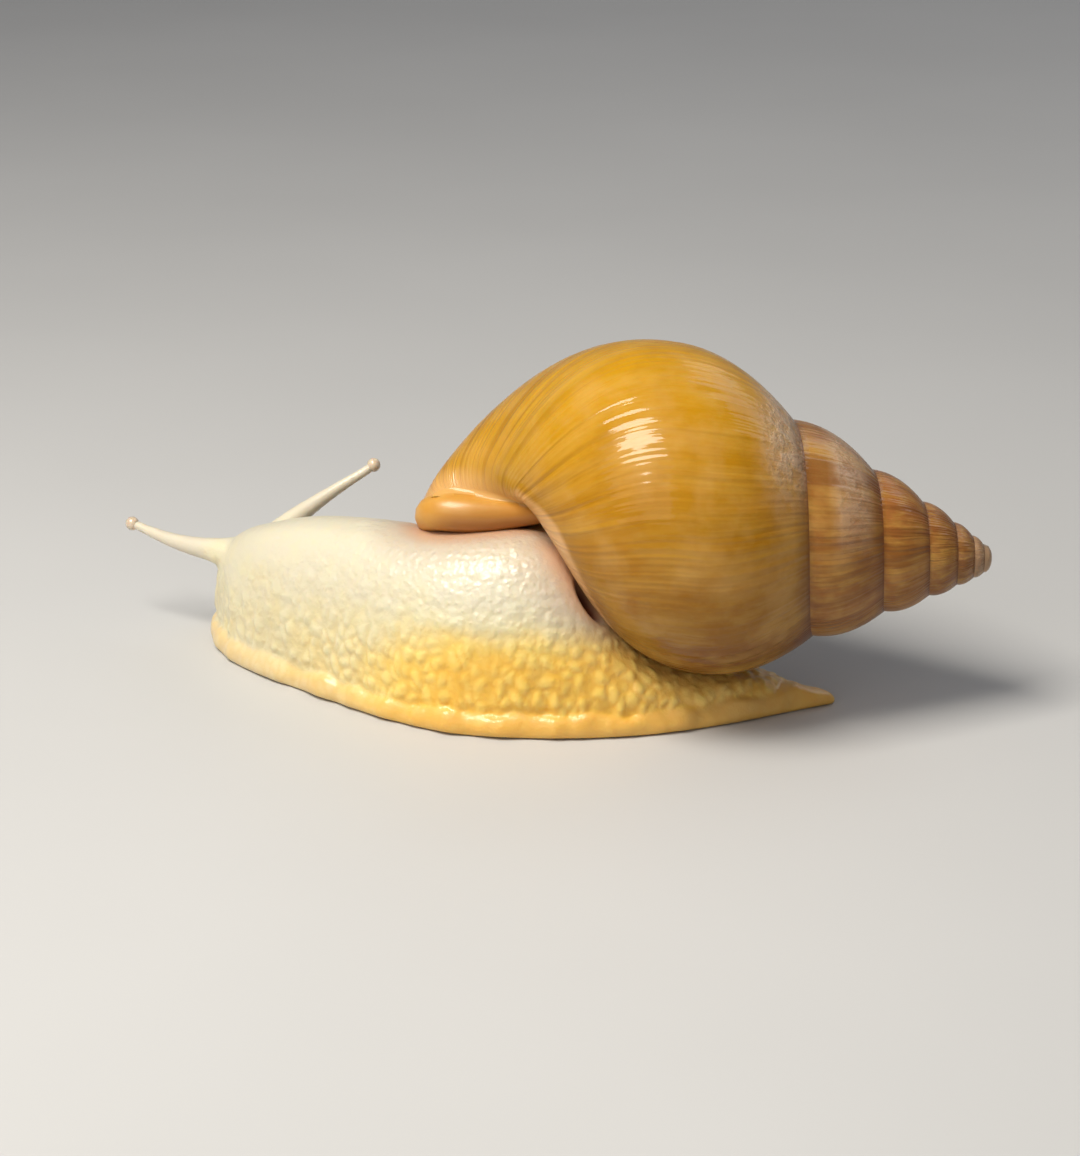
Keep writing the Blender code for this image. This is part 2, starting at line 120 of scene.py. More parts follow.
SHELL_SHADE, MANTLE_REACH = 10.0 * MM, 5.0 * MM

# Relief of the flesh, in millimetres. Levels are heights above the sole.
FRINGE_TOP, FRINGE_SWAY = 4.2, 0.9
BACK_LEVEL, BACK_FALL, BACK_BLUR = 24.0, 11.0, 4.0
LARGE_CELL, LARGE_HEIGHT = 3.0, 0.32
GRAIN_CELLS, GRAIN_HEIGHT, GRAIN_DRIFT = (2.1, 2.1, 3.255), 0.50, 0.30
PEBBLE_FOOT, PEBBLE_BEND, PEBBLE_CROWN, PEBBLE_EDGE = 0.4, 1.3, 1.6, 0.30
FURROW_HEIGHT, FOLD_HEIGHT, CRINKLE_HEIGHT, HEAD_CRINKLE = 0.42, 0.10, 0.08, 0.14
FRINGE_SWELL, RIPPLE_HEIGHT, PLEAT_HEIGHT, GROOVE_DEPTH = 0.05, 0.75, 0.10, 0.50
# Clouds that vary the flesh: size of a cloud along x, y and z in millimetres, and seed.
DRIFT, SWAY = (11.0, 11.0, 11.0, 5.0), (6.0, 6.0, 6.0, 21.0)
FURROWS, FOLDS = (2.4, 2.4, 30.0, 9.0), (8.0, 8.0, 2.0, 33.0)
RIPPLES, PLEATS = (4.2, 4.2, 12.0, 14.0), (1.3, 1.3, 6.0, 17.0)
BENDS = ((3.5, 3.5, 3.5, 51.0), (3.5, 3.5, 3.5, 57.0), (3.5, 3.5, 3.5, 63.0))
CRINKLE_CELL, CRINKLE_SEED = 3.0, 41.0
LARGE_SEED, GRAIN_SEED = 3.0, 11.0
# The hollow between the neck and the shell's edge: its place in the trunk's box, the run of the
# edge there, and its depth in millimetres.
HOLLOW_PLACE, HOLLOW_RUN, HOLLOW_DEPTH = (0.728, 0.234, 0.625), (0.58, 0.0, -0.81), 2.2
HOLLOW_STRETCH, HOLLOW_REACH = 0.65, 3.4

# Colours, as red, green and blue before they are deepened.
COLOUR_DEPTH = 0.71
FLESH_TOPS = (
    (0.0, (0.93, 0.86, 0.66)), (0.3, (0.99, 0.90, 0.57)),
    (0.75, (1.18, 0.90, 0.27)), (1.0, (1.24, 0.84, 0.16)),
)
FLESH_GROOVES = (
    (0.0, (0.89, 0.80, 0.60)), (0.3, (0.94, 0.80, 0.45)),
    (0.75, (1.12, 0.76, 0.16)), (1.0, (1.14, 0.65, 0.07)),
)
FRINGE_COLOUR, MANTLE_COLOUR, FEELER_COLOUR = (1.05, 0.59, 0.12), (0.84, 0.45, 0.16), (0.88, 0.80, 0.64)
# A painted shadow fills the hollow between the neck and the shell's edge.
# Painted shade on the flesh under the shell's overhang, darker still where the flesh meets the shell's edge.
SHADED_FLESH, SHELL_EDGE_SHADE, HOLLOW_SHADOW = (0.68, 0.51, 0.39), (0.78, 0.44, 0.25), (0.16, 0.022, 0.004)
NET_WAVER = (0.0009, 0.0009, 0.0009)
# The shell's own colour from the apex at 0 to the lip at 1.
SHELL_AGES = (
    (0.0, (0.50, 0.29, 0.15)), (0.40, (0.36, 0.14, 0.040)), (0.60, (0.42, 0.155, 0.035)),
    (0.76, (0.38, 0.145, 0.03)), (0.845, (0.20, 0.058, 0.006)), (0.882, (0.25, 0.078, 0.004)),
    (0.912, (0.58, 0.25, 0.006)), (0.94, (0.70, 0.345, 0.004)), (1.0, (0.63, 0.285, 0.004)),
)
# Streaks on the shell: how fine along and across the whorl, detail, seed, where a streak begins and
# is whole, its share and its colour.
SHELL_STREAKS = (
    (7.0, 0.9, 3.0, 1.0, 0.46, 0.72, 0.25, (0.72, 0.42, 0.06)),
    (11.0, 0.5, 4.0, 4.0, 0.50, 0.72, 0.34, (0.46, 0.23, 0.008)),
    (16.0, 5.0, 5.0, 21.0, 0.45, 0.80, 0.34, (0.36, 0.15, 0.008)),
    (36.0, 2.2, 4.0, 27.0, 0.46, 0.78, 0.40, (0.86, 0.52, 0.11)),
)
SHELL_MARBLE, SPIRE_BAND, DARK_LINE = (0.80, 0.46, 0.13), (0.24, 0.075, 0.016), (0.34, 0.13, 0.008)
BASE_FOLD, WORN_SHELL, SUTURE_COLOUR = (0.36, 0.15, 0.008), (0.76, 0.54, 0.37), (0.17, 0.055, 0.018)
# Parts of the shell with a colour of their own, the callus band's paleness partly a painted sheen: share and
# colour.
SHELL_PATCHES = (
    ("callus_sheen", 0.65, (1.05, 0.60, 0.26)),
    ("fan", 0.30, (0.80, 0.42, 0.08)),
    ("apex", 0.45, (0.62, 0.42, 0.26)),
)
# The lip's own colours, and the painted shade it darkens to inside the mouth.
LIP_COLOURS, LIP_SHADE = ((0.78, 0.36, 0.045), (0.84, 0.43, 0.08)), (0.52, 0.20, 0.03)
# The painted shade on the lip grows over these distances behind the nose and below the mantle's top.
LIP_BEHIND, LIP_BELOW = (2.0 * MM, 7.0 * MM), (0.5 * MM, 4.0 * MM)

# Studio, in metres. The lights stand at a distance from the point they are turned to.
CAMERA_TARGET = Vector((0.000035, -0.013487, 0.0245))
CAMERA_DISTANCE, CAMERA_ELEVATION = 0.52, 20.0
CAMERA_SENSOR, CAMERA_LENS = 36.0, 94.15
FLOOR_SIZE = 3.0
KEY_SPOT, KEY_SIDE, KEY_DISTANCE = Vector((0.0156, -0.0283, 0.054)), Vector((-0.43, -0.29, 0.85)), 0.62
FILL_OFFSET, BACK_OFFSET = Vector((-0.7, -0.9, 0.6)), Vector((0.7, 0.8, 0.9))
SKY_COLOUR, SKY_STRENGTH = (0.95, 0.96, 1.0, 1.0), 0.19


def smooth_step(low, high, value):
    share = min(1.0, max(0.0, (value - low) / (high - low)))
    return share * share * (3.0 - 2.0 * share)


def ramp_step(low, high, values):
    share = np.clip((values - low) / (high - low), 0.0, 1.0)
    return share * share * (3.0 - 2.0 * share)


# ---------------------------------------------------------------- shared


def linked(name, data):
    """A new object in the scene."""
    made = bpy.data.objects.new(name, data)
    bpy.context.scene.collection.objects.link(made)
    return made


def finished(name, mesh, materials):
    """A smooth-shaded object from a bmesh that is already in place."""
    data = bpy.data.meshes.new(name)
    mesh.to_mesh(data)
    mesh.free()
    for item in materials:
        data.materials.append(item)
    data.shade_smooth()
    return linked(name, data)


def baked(name, draft):
    """A plain object from another one's evaluated mesh, which is then removed."""
    graph = bpy.context.evaluated_depsgraph_get()
    data = bpy.data.meshes.new_from_object(draft.evaluated_get(graph))
    data.name = name
    bpy.data.objects.remove(draft)
    return linked(name, data)


def changed(base, other, operation):
    """The base object after a Boolean with the other one, which is then removed."""
    step = base.modifiers.new("Step", "BOOLEAN")
    step.solver = "MANIFOLD"
    step.operation = operation
    step.material_mode = "TRANSFER"
    step.object = other
    made = baked(base.name, base)
    bpy.data.objects.remove(other)
    return made


def in_place(mesh, placed):
    """The same mesh, facing outwards and moved to its place."""
    bmesh.ops.recalc_face_normals(mesh, faces=mesh.faces)
    bmesh.ops.transform(mesh, matrix=placed, verts=mesh.verts)
    return mesh


def voxel_skin(name, mesh, voxel):
    """One closed skin of even faces round all the mesh's solids."""
    draft = finished("draft", mesh, [])
    remesh = draft.modifiers.new("Skin", "REMESH")
    remesh.mode = "VOXEL"
    remesh.voxel_size = voxel
    remesh.use_smooth_shade = True
    return baked(name, draft)


def round_tube(name, line):
    """A round tube along rows of a centre and a radius, as a closed mesh."""
    curve = bpy.data.curves.new(name, "CURVE")
    curve.dimensions = "3D"
    curve.bevel_depth = 1.0
    curve.bevel_resolution = TUBE_ROUNDNESS
    curve.use_fill_caps = True
    spline = curve.splines.new("POLY")
    spline.points.add(len(line) - 1)
    for point, (*centre, radius) in zip(spline.points, line):
        point.co = (*centre, 1.0)
        point.radius = radius
    return baked(name, linked(name, curve))


def evenly_spaced(rows, count, rounds):
    """The same open path with evenly shared steps and its corners rounded off."""
    share = np.linspace(0.0, 1.0, count)
    for _ in range(2):
        steps = np.linalg.norm(np.diff(rows[:, :3], axis=0), axis=1)
        place = np.concatenate([[0.0], np.cumsum(steps)]) / steps.sum()
        rows = np.column_stack([np.interp(share, place, column) for column in rows.T])
        for _ in range(rounds):
            rows[1:-1] = (rows[:-2] + 2.0 * rows[1:-1] + rows[2:]) / 4.0
    return rows


def points_of(data):
    points = np.empty(len(data.vertices) * 3)
    data.vertices.foreach_get("co", points)
    return points.reshape(-1, 3)


def normals_of(data):
    data.update()
    normals = np.empty(len(data.vertices) * 3)
    data.vertices.foreach_get("normal", normals)
    return normals.reshape(-1, 3)


def edges_of(data):
    edges = np.empty(len(data.edges) * 2, np.int32)
    data.edges.foreach_get("vertices", edges)
    return edges.reshape(-1, 2)


def put_points(data, points):
    data.vertices.foreach_set("co", points.ravel())
    data.update()


def relax(points, edges, steps, share):
    """Moves each point towards its neighbours' middle, by a share that may differ by point."""
    count = len(points)
    near = np.bincount(edges.ravel(), minlength=count)[:, None]
    share = np.broadcast_to(np.asarray(share, float), (count,))[:, None]
    a, b = edges.T
    for _ in range(steps):
        middle = np.empty_like(points)
        for axis in range(points.shape[1]):
            column = points[:, axis]
            middle[:, axis] = np.bincount(a, column[b], count) + np.bincount(b, column[a], count)
        points = points + share * (middle / near - points)
    return points


def centre_of(node):
    low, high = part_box(node)
    return (low + high) / 2.0


# ---------------------------------------------------------------- shell


def suture_radius(turn):
    return SUTURE_RADIUS * WIDENING**turn * math.exp(WIDENING_EASE * turn * turn)


def suture_height(turn):
    return SUTURE_HEIGHT * LENGTHENING**turn * math.exp(LENGTHENING_EASE * turn * turn)


def base_height(turn):
    if turn < 0.0:
        return BASE_HEIGHT * suture_height(turn) / SUTURE_HEIGHT
    return LIP_BASE_HEIGHT - (LIP_BASE_HEIGHT - BASE_HEIGHT) * math.exp(-turn / BASE_EASE)


def whorl_radius(turn, height):
    """Radius of the whorl's outer face at a height: suture, shoulder, periphery and base."""
    top, middle, base = suture_height(turn), suture_height(turn + 1.0), base_height(turn)
    inner, outer = suture_radius(turn), suture_radius(turn + 1.0)
    if height < middle:
        share = max(0.0, (height - top) / (middle - top))
        return inner + (outer - inner) * (1.0 - (1.0 - share) ** SHOULDER_POWER)
    share = min(1.0, (height - middle) / (base - middle))
    blend = smooth_step(0.0, LIP_TURN, turn)
    power, root = (a + (b - a) * blend for a, b in zip(BASE_POWERS, LIP_POWERS))
    return BASE_RADIUS + (outer - BASE_RADIUS) * (1.0 - share**power) ** root


def rounded_base(radius, height):
    """Height of a point of the base once its end near the axis is rounded off."""
    share = max(0.0, 1.0 - (radius - BASE_RADIUS) / BASE_DROP_REACH)
    return height - BASE_DROP * min(1.0, share) ** 2


def at_turn(turn, radius, height):
    angle = 2.0 * math.pi * turn
    return Vector((radius * math.cos(angle), radius * math.sin(angle), height))


def shell_turned():
    """The rotation that carries the shell's own frame into the snail's."""
    turned = Matrix.Identity(4)
    for axis, degrees in (("Z", SHELL_YAW), ("Y", SHELL_TILT), ("X", SHELL_ROLL), ("Y", -90.0)):
        turned = turned @ Matrix.Rotation(math.radians(degrees), 4, axis)
    return turned


def growth_relief(growth, across, size):
    """Ridges and swellings that run along the growing edge, as a share of the whorl's size."""
    return size * sum(
        height * noise.noise(Vector((growth * along, across * aside, seed)))
        for along, aside, seed, height in GROWTH_RELIEF
    )


def rolled_strip(mesh, layer, turns, rows, place):
    """A grid rolled onto the shell: place(turn, row share) gives the point and growth value."""
    first, last = turns
    columns = round((last - first) * STEPS_PER_TURN)
    made = bmesh.ops.create_grid(mesh, x_segments=columns, y_segments=rows, size=0.5)
    growth_of = {}
    for vertex in made["verts"]:
        turn = first + (last - first) * (vertex.co.x + 0.5)
        row = vertex.co.y + 0.5
        vertex.co, growth = place(turn, row)
        growth_of[vertex] = growth
    for face in {face for vertex in made["verts"] for face in vertex.link_faces}:
        for loop in face.loops:
            loop[layer].uv = growth_of[loop.vert]


def covered_share(turn):
    """1 where the next whorl covers the periphery, 0 where it is free."""
    return 1.0 - smooth_step(LIP_TURN - 1.0, LIP_TURN - 0.9, turn)


def spire_place(turn, row):
    """From a whorl's suture to the next one, and the whorl's own growth coordinates."""
    top, middle = suture_height(turn), suture_height(turn + 1.0)
    share = row**SPIRE_CROWDING
    height = top + (middle - top) * share
    size = suture_radius(turn + 1.0)
    fade = smooth_step(0.0, 0.10, share) * (1.0 - covered_share(turn) * smooth_step(0.90, 1.0, share))
    growth = turn - SUTURE_SWEEP * (1.0 - share) ** 2
    radius = whorl_radius(turn, height) + fade * growth_relief(growth, share, size)
    return at_turn(turn, radius, height), (growth, share)


def base_place(turn, row):
    """From the periphery to the base, where the growth lines sweep back and draw together."""
    middle, base = suture_height(turn + 1.0), base_height(turn)
    share = math.sin(math.pi / 2.0 * row)
    height = middle + (base - middle) * share
    growth = turn + GROWTH_SWEEP * share * share * (1.0 - smooth_step(0.12, LIP_TURN, turn))
    size = suture_radius(turn + 1.0) * (1.0 - share**4)
    fade = 1.0 - covered_share(turn) * (1.0 - smooth_step(0.0, 0.10, share))
    bare = whorl_radius(turn, height)
    radius = bare + fade * growth_relief(growth, 1.0 + share, size)
    return at_turn(turn, radius, rounded_base(bare, height)), (growth, 1.0 + share)


def open_edges(mesh, low, high, wide):
    """Boundary edges between two levels and within a radius of the axis."""
    found = []
    for edge in mesh.edges:
        if edge.is_boundary and all(low <= v.co.z <= high for v in edge.verts):
            if all(math.hypot(v.co.x, v.co.y) <= wide for v in edge.verts):
                found.append(edge)
    return found


def paint_faces(geometry, layer, growth):
    """Gives the new faces among some geometry one place in the growth coordinates."""
    for item in geometry:
        if isinstance(item, bmesh.types.BMFace):
            for loop in item.loops:
                loop[layer].uv = growth


def close_apex(mesh, layer):
    """Domes over the first whorl's open rim in a few rings."""
    high = suture_height(FIRST_TURN + 1.0) + APEX_RISE
    rim = open_edges(mesh, 0.0, high, suture_radius(FIRST_TURN + 1.0) * APEX_REACH)
    tip = suture_height(FIRST_TURN) * APEX_SHARE
    narrow, sink = 1.0, 0.0
    for step in range(1, TIP_ROWS + 1):
        made = bmesh.ops.extrude_edge_only(mesh, edges=rim)["geom"]
        paint_faces(made, layer, APEX_GROWTH)
        rim = [item for item in made if isinstance(item, bmesh.types.BMEdge)]
        fresh = [item for item in made if isinstance(item, bmesh.types.BMVert)]
        angle = math.pi / 2.0 * step / TIP_ROWS
        width, depth = max(math.cos(angle), APEX_NARROWEST), math.sin(angle)
        ratio, rise = width / narrow, (depth - sink) / (1.0 - sink)
        for vertex in fresh:
            level = vertex.co.z + (tip - vertex.co.z) * rise
            vertex.co = Vector((vertex.co.x * ratio, vertex.co.y * ratio, level))
        narrow, sink = width, depth
    bmesh.ops.remove_doubles(mesh, verts=fresh, dist=APEX_MERGE)


def close_base(mesh, layer):
    """Draws the whorl's lower end in to the axis."""
    low = rounded_base(BASE_RADIUS, base_height(LIP_TURN - 1.0)) - RIM_SLACK
    high = base_height(LIP_TURN) + RIM_SLACK
    rim = open_edges(mesh, low, high, BASE_RADIUS + RIM_SLACK)
    made = bmesh.ops.extrude_edge_only(mesh, edges=rim)["geom"]
    paint_faces(made, layer, BASE_GROWTH)
    for item in made:
        if isinstance(item, bmesh.types.BMVert):
            item.co = Vector((0.0, 0.0, item.co.z + BASE_DROP - AXIS_SINK))


def shell_outside():
    """The closed outer skin of the shell with a flat face across its mouth."""
    mesh = bmesh.new()
    layer = mesh.loops.layers.uv.new("growth")
    rolled_strip(mesh, layer, (FIRST_TURN, LIP_TURN), SPIRE_ROWS, spire_place)
    rolled_strip(mesh, layer, (LIP_TURN - 1.0, LIP_TURN), BASE_ROWS, base_place)
    bmesh.ops.remove_doubles(mesh, verts=mesh.verts, dist=GRID_MERGE)
    close_apex(mesh, layer)
    close_base(mesh, layer)
    mouth = [edge for edge in mesh.edges if edge.is_boundary]
    paint_faces(bmesh.ops.edgeloop_fill(mesh, edges=mouth)["faces"], layer, MOUTH_GROWTH)
    bmesh.ops.recalc_face_normals(mesh, faces=mesh.faces)
    return mesh


def chamber_place(turn, row, wall):
    """A point of the living chamber's section: down its outer wall and back up the inner one."""
    top = suture_height(turn) + CHAMBER_UPPER
    bottom = base_height(turn) - CHAMBER_LOWER
    outer = row < 0.5
    level = 2.0 * row if outer else 2.0 - 2.0 * row
    height = top + (bottom - top) * math.sin(math.pi / 2.0 * level)
    hidden = height < base_height(turn - 1.0)
    near = max(COLUMELLA_RADIUS, whorl_radius(turn - 1.0, height) + WALL if hidden else 0.0)
    far = whorl_radius(turn, min(height + wall, base_height(turn))) - wall
    return at_turn(turn, max(far, near + LEAST_CHAMBER) if outer else near, height)


def shell_chamber():
    """The closed inner room of the last whorl, from just outside the lip inwards."""
    mesh = bmesh.new()
    layer = mesh.loops.layers.uv.new("growth")
    rows = 2 * CHAMBER_LEVELS
    made = bmesh.ops.create_grid(mesh, x_segments=CHAMBER_STEPS, y_segments=rows, size=0.5)
    for vertex in made["verts"]:
        inside, row = vertex.co.x + 0.5, vertex.co.y + 0.5
        fold = 0.5 * max(0.0, inside - CHAMBER_WALLS) / (1.0 - CHAMBER_WALLS)
        inside = min(1.0, inside / CHAMBER_WALLS)
        level = math.sin(math.pi / 2.0 * min(2.0 * row, 2.0 - 2.0 * row))
        depth = CHAMBER_DEPTH * (1.0 - LINING_SHARE * smooth_step(LINING_FROM, LINING_TO, level))
        turn = LIP_TURN + 0.01 - (depth + 0.01) * inside
        wall = LIP_WALL + (WALL - LIP_WALL) * smooth_step(0.0, 0.15, inside)
        vertex.co = chamber_place(turn, row, wall).lerp(chamber_place(turn, 1.0 - row, wall), fold)
    for face in mesh.faces:
        for loop in face.loops:
            loop[layer].uv = (loop.vert.co.x, loop.vert.co.z)
    bmesh.ops.remove_doubles(mesh, verts=mesh.verts, dist=GRID_MERGE)
    bmesh.ops.holes_fill(mesh, edges=[edge for edge in mesh.edges if edge.is_boundary], sides=0)
    bmesh.ops.recalc_face_normals(mesh, faces=mesh.faces)
    return mesh


def lip_roll():
    """The rounded lip that edges the mouth from its outer wall round the base to the columella."""
    rows = []
    forward = at_turn(LIP_TURN + QUARTER_TURN, 1.0, 0.0)
    for height, out, radius, ahead in LIP_ROLL:
        if out is None:
            out = whorl_radius(LIP_TURN, height) - LIP_ROLL_INSET * radius
        rows.append((*(at_turn(LIP_TURN - LIP_ROLL_BACK, out, height) + forward * ahead), radius))
    rows = evenly_spaced(np.array(rows), LIP_ROLL_RINGS, LIP_ROLL_EASE)
    rows[:, 3] *= LIP_ROLL_SHARE
    mesh = bmesh.new()
    tube = round_tube("lip_roll", rows)
    mesh.from_mesh(tube.data)
    bpy.data.objects.remove(tube)
    bmesh.ops.remove_doubles(mesh, verts=mesh.verts, dist=ROLL_MERGE)
    return mesh


def build_shell(outer_look, lining_look, lip_look):
    """The shell with its living chamber cut out and its lip rolled, where the CAD shell stands."""
    turned = Matrix.Scale(MM, 4) @ shell_turned()
    outside, room, roll = shell_outside(), shell_chamber(), lip_roll()
    corners = [turned @ vertex.co for piece in (outside, roll) for vertex in piece.verts]
    low = Vector(min(corner[axis] for corner in corners) for axis in range(3))
    high = Vector(max(corner[axis] for corner in corners) for axis in range(3))
    cad_low, cad_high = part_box("shell")
    placed = Matrix.Translation((cad_low + cad_high - low - high) / 2.0) @ turned
    shell = finished("snail_shell", in_place(outside, placed), [outer_look, lining_look])
    shell = changed(shell, finished("room", in_place(room, placed), [lining_look]), "DIFFERENCE")
    shell = changed(shell, finished("roll", in_place(roll, placed), [lip_look]), "UNION")
    shell.name = "snail_shell"
    mark_shell(shell.data)
    return shell


def mark_shell(data):
    """Where the shell is worn, glazed with a partly painted sheen, or fanned, from the growth coordinates of
    each corner.
    """
    count = len(data.loops)
    growth = np.zeros(count * 2, np.float32)
    data.uv_layers["growth"].data.foreach_get("uv", growth)
    turn, across = growth.reshape(-1, 2).T
    worn = [
        share * ramp_step(*along, np.abs(turn - middle)) * ramp_step(*aside, np.abs(across - level))
        for middle, level, along, aside, share in WORN_PATCHES
    ]
    marks = {
        "worn": np.maximum(*worn),
        "apex": ramp_step(-4.5, -5.4, turn),
        # The glazed callus band, paler partly as a painted sheen.
        "callus_sheen": ramp_step(-0.02, 0.02, across - np.interp(turn, GLAZE_TURNS, GLAZE_STARTS)),
        "fan": ramp_step(0.11, 0.02, np.abs(turn)) * ramp_step(1.84, 1.97, across),
    }
    for name, values in marks.items():
        mark = data.attributes.new(name, "FLOAT", "CORNER")
        mark.data.foreach_set("value", values.astype(np.float32))


# ---------------------------------------------------------------- flesh


def merged_copy(names, swell):
    """Copies of CAD nodes in one bmesh, each grown a little so that they meet."""
    mesh = bmesh.new()
    for name in names:
        mesh.from_mesh(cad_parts[name].data)
    bmesh.ops.remove_doubles(mesh, verts=mesh.verts, dist=0.001 * MM)
    bmesh.ops.recalc_face_normals(mesh, faces=mesh.faces)
    mesh.normal_update()
    moves = [(vertex, vertex.normal * swell) for vertex in mesh.verts]
    for vertex, move in moves:
        vertex.co += move
    return mesh


def feeler_line(node, eye_point, count):
    """Centres and radii along a CAD feeler, from its root to a point near its eye."""
    points = points_of(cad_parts[node].data)
    away = np.linalg.norm(points - np.array(eye_point), axis=1)
    whole = away < FEELER_WHOLE * away.max()
    line = [np.polyfit(away[whole], points[whole, axis], 2) for axis in range(3)]
    off = points - np.column_stack([np.polyval(axis, away) for axis in line])
    thick = np.polyfit(away[whole], np.linalg.norm(off[whole], axis=1), 3)
    places = np.linspace(FEELER_WHOLE * away.max(), away.min(), count)
    centres = np.column_stack([np.polyval(axis, places) for axis in line])
    return centres, np.maximum(np.polyval(thick, places), THINNEST_FEELER)


def small_feeler_line(node, head):
    """Centres and radii of a small CAD feeler: a straight taper from inside the head to a round tip."""
    points = points_of(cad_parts[node].data)
    away = np.linalg.norm(points - head, axis=1)
    outer = away > np.median(away)
    start, ahead = points[~outer].mean(axis=0), points[outer].mean(axis=0) - points[~outer].mean(axis=0)
    ahead /= np.linalg.norm(ahead)
    reach = (points - start) @ ahead
    off = np.linalg.norm(points - start - reach[:, None] * ahead, axis=1)
    taper = np.polyfit(reach, off, 1)
    places = np.linspace(reach.min() - SMALL_FEELER_ROOT, reach.max(), SMALL_FEELER_RINGS)
    tip = np.sqrt(np.clip((reach.max() - places) / SMALL_FEELER_TIP, 0.1, 1.0))
    centres = start + places[:, None] * ahead
    return np.column_stack([centres, np.polyval(taper, places) * tip])


def feeler_tubes():
    """The four feelers, each carried a little way into the head."""
    made = []
    head = np.array(centre_of("head"))
    for side in ("left", "right"):
        eye = np.array(centre_of("eye_" + side))
        centres, radii = feeler_line("upper_tentacle_" + side, eye, FEELER_FITS)
        root = centres[0] + FEELER_ROOT * (head - centres[0])
        radii = [radii[0] * FEELER_FLARE, *radii, radii[-1]]
        line = np.column_stack([np.vstack([root, centres, eye]), radii])
        line = evenly_spaced(line, FEELER_RINGS, FEELER_EASE)
        made.append(round_tube("feeler_" + side, line))
    for side in ("left", "right"):
        line = small_feeler_line("lower_tentacle_" + side, head)
        made.append(round_tube("small_feeler_" + side, line))
    return made


def spine_place(points):
    """How far along the body each point is, from 0 at the tail's tip to 1 at the nose."""
    line = [
        Vector((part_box("tail")[1].x, centre_of("tail").y, 0.0)),
        centre_of("foot_middle"),
        (centre_of("foot_middle") + centre_of("foot_front")) / 2.0,
        centre_of("neck"),
        centre_of("head"),
        (centre_of("lip_left") + centre_of("lip_right")) / 2.0,
    ]
    line = np.array([(point.x, point.y) for point in line])
    lengths = np.linalg.norm(np.diff(line, axis=0), axis=1)
    starts = np.concatenate([[0.0], np.cumsum(lengths)])
    best = np.full(len(points), 1e9)
    along = np.zeros(len(points))
    for a, b, start, length in zip(line, line[1:], starts, lengths):
        ahead = (b - a) / length
        share = np.clip((points[:, :2] - a) @ ahead, 0.0, length)
        away = np.linalg.norm(points[:, :2] - a - share[:, None] * ahead, axis=1)
        closer = away < best
        best[closer], along[closer] = away[closer], (start + share)[closer]
    return along / starts[-1]


def pebbles(points, seed):
    """A height from 0 in the furrows to 1 on the rounded top of each irregular cell."""
    height = np.empty(len(points))
    shift = Vector((seed, seed * 1.7, seed * 0.6))
    for k, point in enumerate(points):
        first, second = noise.voronoi(Vector(point) + shift)[0][:2]
        crown = max(0.0, 1.0 - PEBBLE_CROWN * first * first)
        height[k] = crown * min(1.0, (second - first) / PEBBLE_EDGE)
    return height


def clouds(points, seed):
    """Smooth noise from -1 to 1 at each point."""
    shift = Vector((seed, seed * 0.4, seed * 1.3))
    return np.array([noise.noise(Vector(point) + shift) for point in points])


def stretched_clouds(place, kind):
    *cell, seed = kind
    return clouds(place / np.array(cell), seed)


def set_attribute(data, name, values):
    made = data.attributes.new(name, "FLOAT", "POINT")
    made.data.foreach_set("value", np.asarray(values, np.float32))


def mantle_nearness(points):
    """1 on the mantle collar and under the shell's edge, falling to 0 a few millimetres away."""
    low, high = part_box("mantle_collar")
    size = np.array(high - low) / 2.0
    centre = np.array((low + high) / 2.0)
    away = np.maximum(np.abs(points - centre) - size, 0.0)
    return 1.0 - ramp_step(0.0, MANTLE_REACH, np.linalg.norm(away, axis=1))


def build_skin(look, shell):
    """One skin over all the flesh: body, foot, mantle collar and feelers, with its relief."""
    rough = merged_copy(FLESH + FEET + ("mantle_collar",), SWELL)
    body = voxel_skin("body", rough, BODY_VOXEL)
    points, edges = points_of(body.data), edges_of(body.data)
    share = np.where(points[:, 2] < SOLE_HEIGHT, SOLE_SHARE, 0.5)
    points = relax(points, edges, BODY_SMOOTHING, share)
    points[:, 2] = np.maximum(points[:, 2], 0.0)
    put_points(body.data, points)
    whole = bmesh.new()
    whole.from_mesh(body.data)
    bpy.data.objects.remove(body)
    for tube in feeler_tubes():
        whole.from_mesh(tube.data)
        bpy.data.objects.remove(tube)
    skin = voxel_skin("snail_skin", whole, SKIN_VOXEL)
    data = skin.data
    points, edges = points_of(data), edges_of(data)
    points = relax(points, edges, SKIN_SMOOTHING, 0.5)
    points[:, 2] = np.maximum(points[:, 2], 0.0)
    put_points(data, points)
    paint_and_relief(data, shell)
    data.materials.clear()
    data.materials.append(look)
    data.shade_smooth()
    return skin


def feeler_share(points):
    """1 on the free part of the feelers, 0 on the head."""
    away = np.linalg.norm(points - np.array(centre_of("head")), axis=1)
    share = np.zeros(len(points))
    for side in ("left", "right"):
        low, high = (np.array(corner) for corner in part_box("upper_tentacle_" + side))
        inside = np.all((points > low - FEELER_MARGIN) & (points < high + FEELER_MARGIN), axis=1)
        share = np.maximum(share, inside * ramp_step(FEELER_START, FEELER_FREE, away))
    return share


def nearness(points, target, reach):
    """1 where a point touches the target object, falling to 0 at a reach from it."""
    tree = BVHTree.FromObject(target, bpy.context.evaluated_depsgraph_get())
    found = [tree.find_nearest(Vector(point), reach)[3] for point in points]
    return 1.0 - np.array([reach if away is None else away for away in found]) / reach


def hollow_distance(points):
    """Millimetres from the hollow under the shell's edge, counted shorter along the edge."""
    low, high = (np.array(corner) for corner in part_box("trunk"))
    away = (points - low - (high - low) * np.array(HOLLOW_PLACE)) / MM
    return np.sqrt(np.sum(away * away, axis=1) - HOLLOW_STRETCH * (away @ np.array(HOLLOW_RUN)) ** 2)


